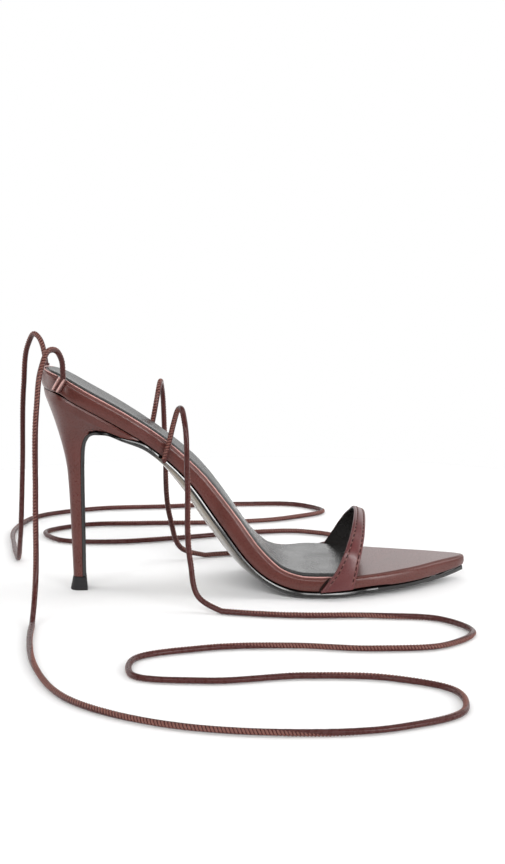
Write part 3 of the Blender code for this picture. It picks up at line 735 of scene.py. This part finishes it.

# Stitches of the strap, with painted shade in its needle holes and end slots
# Waxed thread along both edges of the strap. Between each two stitches a dark bead is painted shade in the
# hole that the needle cut, and at each end of the strap a dark bead is painted shade in the slot in the
# footbed's cover where it goes in. Sizes are in millimetres.
STITCH_PITCH = 3.0
BEAD_SIDES = 6
BEAD_WIDEN = 1.15
ROW_MARGIN = 0.3
ROW_SAMPLES = 600
# Along a stitch from end to end: place, sink and swell
STITCH_SHARES = np.array([-1.0, -0.85, -0.5, 0.0, 0.5, 0.85, 1.0])[:, None]
STITCH_SINK = np.array([-0.50, -0.22, 0.0, 0.08, 0.0, -0.22, -0.50])[:, None]
STITCH_SWELL = np.array([0.45, 0.85, 1.0, 1.0, 1.0, 0.85, 0.45])[:, None]
# Rows of beads along each edge: offset in pitches, length, radius and lift
# The needle holes' row is dark beads of painted shade
BEAD_ROWS = {"stitches": (0.5, 1.4, 0.28, 0.10 + STITCH_SINK), "needle_hole_shade": (1.0, 2.0, 0.34, -0.10)}
# The dark beads of painted shade in the slots at the strap's ends, from the end upwards
END_SLOT_ROWS = {"medial": np.linspace(0.02, 0.74, 9), "lateral": np.linspace(9.30, 9.98, 9)}
END_SLOT_SWELL = np.array([0.3, 0.8, 1.0, 1.0, 1.0, 1.0, 0.9, 0.7, 0.2])
END_SLOT_SIDES = 8
END_SLOT_WIDTH = 0.75
END_SLOT_DEPTH = 0.16
END_SLOT_FROM_REAR = -0.7
END_SLOT_LIFT = -0.22


def stitch_line(edge_name, width):
    """How far the row of stitches by an edge is from the strap's rear edge."""
    return 0 * width + STITCH_FROM_REAR if edge_name == "rear" else width - STITCH_FROM_FRONT


def bead_row(name, edge_name, offset, length, radius, lift):
    """A row of beads by an edge of the strap: threads that dip in at both ends, or dark beads of painted
    shade in the holes that the needle leaves between them."""
    fine = np.linspace(ROW_MARGIN, STRAP_KNOTS[-1] - ROW_MARGIN, ROW_SAMPLES)
    run = run_along(strap_place(fine, stitch_line(edge_name, strap_width(fine)), 0 * fine)) / MILLIMETRE
    turn = np.linspace(0.0, 2 * math.pi, BEAD_SIDES, endpoint=False)
    swell = radius * STITCH_SWELL
    beads = []
    for stitch in range(int(run[-1] / STITCH_PITCH) - 1):
        middle = (stitch + offset) * STITCH_PITCH
        row = np.interp(middle + STITCH_SHARES * length / 2, run, fine)
        width = strap_width(row)
        from_rear = stitch_line(edge_name, width)
        base = strap_lift(from_rear, width) + lift
        reach = from_rear + BEAD_WIDEN * swell * np.cos(turn)
        beads.append(strap_place(row, reach, base + swell * np.sin(turn)))
    return closed_tubes(name, beads)


def waxed_thread():
    """Waxed polyester thread: a touch lighter and redder than the leather, with the twist of its plies."""
    made, shader, place = new_material("waxed_brown_thread")
    plies = {"Vector": place, "Scale": scale_for(0.6), "Distortion": 1.0}
    ply = add_node(made, "ShaderNodeTexWave", {"bands_direction": "DIAGONAL"}, plies).outputs["Fac"]
    return finished(made, shader, ply, ("#4a2622", "#8a5a50"), (0.4, 0.6), (0.2, 0.0001), 0.5)


def painted_shade_leather():
    """Near-black, matte and uneven: painted shade, put in the needle holes and in the slots at the strap's
    ends.
    """
    made, shader, place = new_material("painted_slot_shade")
    fuzz = {"Vector": place, "Scale": scale_for(0.5)}
    fuzz = add_node(made, "ShaderNodeTexNoise", {}, fuzz).outputs["Fac"]
    tint = {0: fuzz, 6: colour("#160b0a"), 7: colour("#2a1614")}
    tint = add_node(made, "ShaderNodeMix", MIX_COLOURS, tint).outputs[2]
    connect(made, shader, {"Base Color": tint, "Roughness": 0.9, "Specular IOR Level": 0.2})
    return made


# Dark material of the painted shade in the needle holes and the end slots
slot_shade_leather = painted_shade_leather()
bead_materials = {"stitches": waxed_thread(), "needle_hole_shade": slot_shade_leather}
for edge_name in ("rear", "front"):
    for kind, sizes in BEAD_ROWS.items():
        beads = bead_row(f"toe_strap_{edge_name}_{kind}", edge_name, *sizes)
        dressed(beads, bead_materials[kind])
# Dark beads of painted shade in the slots where the strap's ends go into the footbed's cover
turn = np.linspace(0.0, 2 * math.pi, END_SLOT_SIDES, endpoint=False)
for side_name, slot_row in END_SLOT_ROWS.items():
    swell = (END_SLOT_SWELL if side_name == "medial" else END_SLOT_SWELL[::-1])[:, None]
    from_rear = END_SLOT_FROM_REAR + END_SLOT_WIDTH * swell * np.cos(turn)
    lift = END_SLOT_LIFT + END_SLOT_DEPTH * swell * np.sin(turn)
    end_slot_shade = strap_place(slot_row[:, None], from_rear, lift)
    end_slot_shade = closed_tubes(f"toe_strap_{side_name}_slot", [end_slot_shade])
    dressed(end_slot_shade, slot_shade_leather)

# Heel tabs
# Two short leather tabs, folded flat and glued and sewn to the footbed's side at the heel. The end of
# each tie is caught in the fold.
TAB_CUTS = 5
TAB_RIDGE = 0.0011
TAB_RIDGE_PLACE = 0.45
TAB_RIDGE_HALF = 0.16


def raise_ridges(tab):
    """Raises two ridges along a tab's outer face, where the leather is folded over the tie's end, and keeps
    where they face outwards as the mask of a painted highlight.
    """
    places = np.array([vertex.co for vertex in tab.data.vertices])
    middle = places.mean(axis=0)
    axes = np.linalg.svd(places - middle, full_matrices=False)[2]
    outward = axes[2] if np.dot(axes[2], middle * (1, 1, 0)) > 0 else -axes[2]
    across = (places - middle) @ axes[1]
    across = across / np.abs(across).max()
    faces_out = np.array([vertex.normal for vertex in tab.data.vertices]) @ outward
    ridge = np.exp(-(((np.abs(across) - TAB_RIDGE_PLACE) / TAB_RIDGE_HALF) ** 2))
    ridge *= np.clip(faces_out, 0.0, 1.0)
    # Mask of a painted highlight: strongest on the ridges where they face outwards
    ridge_highlight = tab.data.attributes.new("ridge_highlight", "FLOAT", "POINT")
    ridge_highlight.data.foreach_set("value", ridge.astype(np.float32))
    for vertex, place in zip(tab.data.vertices, places + (TAB_RIDGE * ridge)[:, None] * outward):
        vertex.co = place


def tab_leather_painted_highlights():
    """Calf leather with a soft gloss, painted pale pink along the tabs' outward ridges: a painted highlight.
    """
    made = calf_leather("tab_calf_leather_painted_highlights", "#44211d", "#542c28", 0.24)
    shader = made.node_tree.nodes["Principled BSDF"]
    tint = shader.inputs["Base Color"].links[0].from_socket
    ridge_highlight = add_node(made, "ShaderNodeAttribute", {"attribute_name": "ridge_highlight"}, {}).outputs["Fac"]
    # Painted highlight: the ridges turn pale pink
    tint = {0: ridge_highlight, 6: tint, 7: colour("#cfa59e")}
    tint = add_node(made, "ShaderNodeMix", MIX_COLOURS, tint).outputs[2]
    connect(made, shader, {"Base Color": tint})
    return made


tab_leather = tab_leather_painted_highlights()
for tab_name in ("heel_tab_medial", "heel_tab_lateral"):
    tab = merged_copy(tab_name, tab_name + "_folded")
    bpy.ops.object.mode_set(mode="EDIT")
    bpy.ops.mesh.select_all(action="SELECT")
    bpy.ops.mesh.subdivide(number_cuts=TAB_CUTS)
    bpy.ops.object.mode_set(mode="OBJECT")
    raise_ridges(tab)
    refined(tab)
    dressed(tab, tab_leather)
    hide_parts(tab_name)

# Ties
# Two long cords of the same colour: a strip of leather rolled round a core and closed along one side by a
# whip-stitched seam. Each is held at the arch and at its heel tab, and lies loose on the floor. Its sizes
# are in millimetres, but its length is in metres.
TIE_DIAMETER = 3.2
TIE_BODY_RADIUS = 1.38
TIE_END_SHARE = 0.6
TIE_SIDES = 14
TIE_STEP = 1.25
TIE_SAMPLES = 6000
TIE_IN_SEAM = 1.6
TIE_IN_TAB = 4.0
FLOOR_GAP = 0.1
TWIST_LENGTH = 230.0
# How the twist sways as the tie lies: turn, length and start of each sway
TWIST_SWAYS = ((0.9, 37.0, 0.0), (0.5, 13.0, 1.0))
WHIP_PITCH = 1.55
WHIP_SLANT = 0.85
WHIP_HALF_ARC = math.radians(68)
WHIP_RADIUS = 0.40
WHIP_WIDEN = 1.3
WHIP_SINK = 0.14
WHIP_SIDES = 5
# Along a whip stitch from end to end: place and swell
WHIP_SHARES = np.linspace(-1.0, 1.0, 7)
WHIP_SWELL = np.array([0.5, 0.9, 1.0, 1.0, 1.0, 0.9, 0.5])[:, None, None]
# The routes of the CAD model's ties, from the arch over the floor to the tab
TIE_ROUTES = {
    "tie_medial": (
        (-50.3, -24.2, 72.6), (-48.2, -24.3, 80.0), (-45.6, -25.0, 91.0), (-43.4, -29.5, 99.3),
        (-41.9, -36.8, 100.6), (-40.9, -43.0, 95.0), (-40.1, -47.3, 66.0), (-39.0, -49.4, 25.0),
        (-35.0, -52.5, 7.5), (-25.0, -57.5, 2.0), (12.0, -69.0, 1.8), (52.0, -73.5, 1.8),
        (82.0, -83.0, 1.8), (92.0, -104.0, 1.8), (75.0, -123.0, 1.8), (41.0, -125.5, 1.8),
        (4.0, -117.0, 1.8), (-38.0, -117.0, 1.8), (-70.0, -130.0, 1.8), (-71.0, -151.0, 1.8),
        (-40.0, -162.0, 1.8), (4.0, -160.0, 1.8), (42.0, -168.0, 1.8), (64.0, -186.0, 1.8),
        (62.0, -210.0, 1.8), (34.0, -225.0, 1.8), (-16.0, -226.0, 1.8), (-64.0, -210.0, 1.8),
        (-98.0, -180.0, 1.8), (-113.0, -138.0, 1.8), (-117.5, -96.0, 1.8), (-117.0, -67.0, 3.4),
        (-115.8, -55.0, 16.0), (-114.8, -51.0, 60.0), (-113.4, -48.2, 104.0), (-111.0, -43.8, 122.5),
        (-107.4, -37.4, 130.6), (-103.6, -30.8, 129.8), (-101.2, -26.6, 124.4), (-100.8, -24.5, 117.0),
    ),
    "tie_lateral": (
        (-56.3, 20.6, 77.6), (-54.4, 20.7, 85.0), (-52.2, 21.5, 96.0), (-50.4, 26.0, 104.0),
        (-49.2, 33.2, 105.2), (-48.2, 39.4, 99.5), (-46.8, 43.9, 68.0), (-44.2, 46.8, 26.0),
        (-38.0, 50.4, 7.6), (-25.0, 55.5, 2.0), (12.0, 62.0, 1.8), (46.0, 73.0, 1.8),
        (58.0, 92.0, 1.8), (40.0, 107.0, 1.8), (2.0, 107.0, 1.8), (-38.0, 98.0, 1.8),
        (-78.0, 93.0, 1.8), (-108.0, 102.0, 1.8), (-116.0, 122.0, 1.8), (-97.0, 137.0, 1.8),
        (-56.0, 139.0, 1.8), (-10.0, 137.0, 1.8), (36.0, 145.0, 1.8), (60.0, 163.0, 1.8),
        (48.0, 182.0, 1.8), (10.0, 189.0, 1.8), (-38.0, 186.0, 1.8), (-88.0, 183.0, 1.8),
        (-121.0, 166.0, 1.8), (-134.5, 132.0, 1.8), (-133.5, 90.0, 1.8), (-129.5, 56.0, 3.6),
        (-127.4, 43.0, 18.0), (-125.0, 37.4, 58.0), (-123.0, 34.4, 104.0), (-120.2, 29.6, 126.0),
        (-116.4, 23.2, 133.0), (-113.0, 17.0, 130.4), (-111.2, 13.6, 125.0), (-110.5, 12.5, 120.3),
    ),
}


def tie_line(route):
    """The smooth curve through a route, as evenly spaced points. Both ends go on a little way, into the
    seam at the arch and into the heel tab."""
    route = np.array(route, float)
    start = route[0] + TIE_IN_SEAM * unit(route[0] - route[1])
    end = route[-1] + TIE_IN_TAB * unit(route[-1] - route[-2])
    route = np.concatenate([[start], route, [end]])
    knots = run_along(route)
    slope = np.gradient(route, knots, axis=0)
    fine = np.linspace(0.0, knots[-1], TIE_SAMPLES)
    part = np.clip(np.searchsorted(knots, fine, side="right") - 1, 0, len(knots) - 2)
    step = (knots[part + 1] - knots[part])[:, None]
    share = (fine - knots[part])[:, None] / step
    curve = cubic_between(share, step, route[part], route[part + 1], slope[part], slope[part + 1])
    curve[:, 2] = np.maximum(curve[:, 2], TIE_DIAMETER / 2 + FLOOR_GAP)
    run = run_along(curve)
    even = np.linspace(0.0, run[-1], int(run[-1] / TIE_STEP) + 1)
    return even, read_at(even, run, curve)


def seam_turn(run):
    """The turn of the seam round the cord at a run along it: the cord lies slowly twisted."""
    turn = 2 * math.pi * run / TWIST_LENGTH
    for sway, length, start in TWIST_SWAYS:
        turn = turn + sway * np.sin(run / length + start)
    return turn


def whipping(name, run, line, first, second):
    """The whip stitches that close the seam: short slanted turns of thread over a part of the cord."""
    angle = np.linspace(0.0, 2 * math.pi, WHIP_SIDES, endpoint=False)[None, :, None]
    beads = []
    for stitch in range(int(run[-1] / WHIP_PITCH) - 2):
        middle = (stitch + 1.5) * WHIP_PITCH
        at = middle + WHIP_SHARES * WHIP_SLANT
        turn = seam_turn(middle) + WHIP_SHARES * WHIP_HALF_ARC
        out = read_at(at, run, first) * np.cos(turn)[:, None]
        out = out + read_at(at, run, second) * np.sin(turn)[:, None]
        spine = read_at(at, run, line) + (TIE_BODY_RADIUS - WHIP_SINK) * out
        beside = np.cross(unit(np.gradient(spine, axis=0)), out)
        reach = WHIP_WIDEN * beside[:, None] * np.cos(angle) + out[:, None] * np.sin(angle)
        beads.append((spine[:, None] + WHIP_RADIUS * WHIP_SWELL * reach) * MILLIMETRE)
    return closed_tubes(name, beads)


def rolled_leather():
    """Rolled goat leather, thin and darkened by handling: a soft gloss, with fine creases that are darker
    and smoother than the leather between them."""
    made, shader, place = new_material("rolled_goat_leather")
    creases = {"Vector": place, "Scale": scale_for(1.8), "Detail": 4.0}
    crease = add_node(made, "ShaderNodeTexNoise", {}, creases).outputs["Fac"]
    return finished(made, shader, crease, ("#361715", "#4d2623"), (0.22, 0.34), (0.15, 0.0002), 0.24)


def whip_thread():
    """Thick waxed thread of the seam: reddish brown and matte, darker between its plies."""
    made, shader, place = new_material("whipped_seam_thread")
    plies = {"Vector": place, "Scale": scale_for(0.9), "Detail": 2.0}
    ply = add_node(made, "ShaderNodeTexNoise", {}, plies).outputs["Fac"]
    return finished(made, shader, ply, ("#583029", "#7d4c40"), (0.40, 0.60), (0.2, 0.0001), 0.5)


tie_leather = rolled_leather()
seam_thread = whip_thread()
for tie_name, tie_route in TIE_ROUTES.items():
    run, line = tie_line(tie_route)
    first, second = frames_along(line)
    turns = 2 * math.pi * np.arange(TIE_SIDES) / TIE_SIDES
    angle = (seam_turn(run)[:, None] + turns[None, :])[..., None]
    out = first[:, None] * np.cos(angle) + second[:, None] * np.sin(angle)
    radius = np.full(len(run), TIE_BODY_RADIUS)
    radius[[0, -1]] = TIE_END_SHARE * TIE_BODY_RADIUS
    rings = line[:, None] + radius[:, None, None] * out
    tie = closed_tubes(tie_name + "_cord", [rings * MILLIMETRE])
    dressed(tie, tie_leather)
    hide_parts(tie_name)
    seam = whipping(tie_name + "_whipping", run, line, first, second)
    dressed(seam, seam_thread)

# Floor and light
# A plain white studio floor. White walls stand all round, brighter behind the shoe than in front of it,
# with soft boxes in them: one overhead, three in front, one to the right and one to the left.
FLOOR_RADIUS = 0.36
FLOOR_SIDES = 64
EASED = {"interpolation_type": "SMOOTHSTEP"}
SEEN_WALL = 1.0
# Changes of the walls' light: the part of a direction that each goes by, where it starts and ends, the
# light at its start and at its end, and how it runs. The slope is the height without its sign: below the
# foot of the walls the white floor goes on, so the light rises again there
WALL_LIGHT = {
    "front_to_back": ("Y", (-0.3, 0.6), (0.15, 1.5), EASED),
    "to_the_right": ("X", (0.05, 0.25), (1.0, 1.35), {}),
    "from_the_foot": ("slope", (0.0, 0.25), (0.12, 1.0), {}),
    "to_the_top": ("Z", (0.36, 0.68), (1.0, 0.22), EASED),
}
BOX_AHEAD = (0.1, 0.3)
# Soft boxes: direction, run, half angles of full light and of its edge along and across, and brightness
SOFT_BOXES = {
    "front": ((0.167, -0.83, 0.446), (0.53, -0.02, -0.22), (48.0, 58.0), (2.5, 5.0), 11.0),
    "overhead": ((0.0, 0.05, 0.99), (1.0, 0.0, 0.0), (40.0, 55.0), (9.0, 16.0), 1.6),
    "right": ((0.88, -0.10, 0.46), (0.0, 1.0, 0.0), (10.0, 18.0), (10.0, 18.0), 3.0),
    "left": ((-0.93, 0.27, 0.10), (0.0, 1.0, 0.0), (16.0, 28.0), (12.0, 22.0), 2.2),
    "front_right": ((0.55, -0.80, 0.20), (0.0, 0.0, 1.0), (14.0, 20.0), (3.0, 6.0), 8.0),
    "front_left": ((-0.62, -0.76, 0.20), (0.0, 0.0, 1.0), (14.0, 20.0), (3.0, 6.0), 6.0),
}

bpy.ops.object.select_all(action="DESELECT")
bpy.ops.mesh.primitive_circle_add(vertices=FLOOR_SIDES, radius=FLOOR_RADIUS, fill_type="NGON")
floor = bpy.context.object
floor.name = "studio_floor"
# Painted board: white and matte, with a faint slow change of shade
floor_paint, floor_shader, floor_place = new_material("white_studio_floor")
floor_grain = {"Vector": floor_place, "Scale": scale_for(400.0)}
floor_grain = add_node(floor_paint, "ShaderNodeTexNoise", {}, floor_grain).outputs["Fac"]
floor_tint = {0: floor_grain, 6: colour("#f6f6f6"), 7: colour("#fafafa")}
floor_tint = add_node(floor_paint, "ShaderNodeMix", MIX_COLOURS, floor_tint).outputs[2]
connect(floor_paint, floor_shader, {"Base Color": floor_tint, "Roughness": 0.9})
floor.data.materials.append(floor_paint)

world = bpy.data.worlds.new("studio_walls")
world.use_nodes = True
bpy.context.scene.world = world
direction = add_node(world, "ShaderNodeTexCoord", {}, {}).outputs["Generated"]
parts = dict(add_node(world, "ShaderNodeSeparateXYZ", {}, {"Vector": direction}).outputs.items())
slope = {0: parts["Z"]}
parts["slope"] = add_node(world, "ShaderNodeMath", {"operation": "ABSOLUTE"}, slope).outputs["Value"]
light = 1.0
for part, (start, end), (first, last), settings in WALL_LIGHT.values():
    change = {"Value": parts[part], "From Min": start, "From Max": end, "To Min": first, "To Max": last}
    change = {0: light, 1: add_node(world, "ShaderNodeMapRange", settings, change).outputs["Result"]}
    light = add_node(world, "ShaderNodeMath", {"operation": "MULTIPLY"}, change).outputs["Value"]
for aim, length, along, across, brightness in SOFT_BOXES.values():
    aim = unit(np.array(aim))
    length = unit(np.array(length) - np.dot(length, aim) * aim)
    # Full light ahead, and up to the first angle off the middle along and across, none from the second on
    edges = [(aim, *BOX_AHEAD)]
    for axis, angles in ((length, along), (np.cross(aim, length), across)):
        full, none = (math.sin(math.radians(angle)) for angle in angles)
        edges.append((axis, none, full))
    box = brightness
    for axis, none, full in edges:
        reach = {0: direction, 1: tuple(float(x) for x in axis)}
        settings = {"operation": "DOT_PRODUCT"}
        reach = add_node(world, "ShaderNodeVectorMath", settings, reach).outputs["Value"]
        if axis is not aim:
            settings = {"operation": "ABSOLUTE"}
            reach = add_node(world, "ShaderNodeMath", settings, {0: reach}).outputs["Value"]
        share = {"Value": reach, "From Min": none, "From Max": full}
        share = {0: box, 1: add_node(world, "ShaderNodeMapRange", EASED, share).outputs["Result"]}
        box = add_node(world, "ShaderNodeMath", {"operation": "MULTIPLY"}, share).outputs["Value"]
    light = add_node(world, "ShaderNodeMath", {"operation": "ADD"}, {0: light, 1: box}).outputs["Value"]
seen = add_node(world, "ShaderNodeLightPath", {}, {}).outputs["Is Camera Ray"]
strength = add_node(world, "ShaderNodeMix", {}, {0: seen, 2: light, 3: SEEN_WALL}).outputs[0]
connect(world, world.node_tree.nodes["Background"], {"Color": colour("#ffffff"), "Strength": strength})

# Camera
# The photograph's view: from the inner side, a little above the shoe, with a long lens.
CAMERA_PLACE = (-0.0852, -0.7865, 0.217)
CAMERA_TILT = math.radians(80.32)
CAMERA_TURN = math.radians(-6.0)
CAMERA_LENS = 63.29
CAMERA_SENSOR = 36.0
bpy.ops.object.camera_add(location=CAMERA_PLACE)
camera = bpy.context.object
camera.rotation_euler = (CAMERA_TILT, 0.0, CAMERA_TURN)
camera.data.sensor_width = CAMERA_SENSOR
camera.data.lens = CAMERA_LENS
bpy.context.scene.camera = camera
bpy.context.scene.view_settings.view_transform = "Standard"
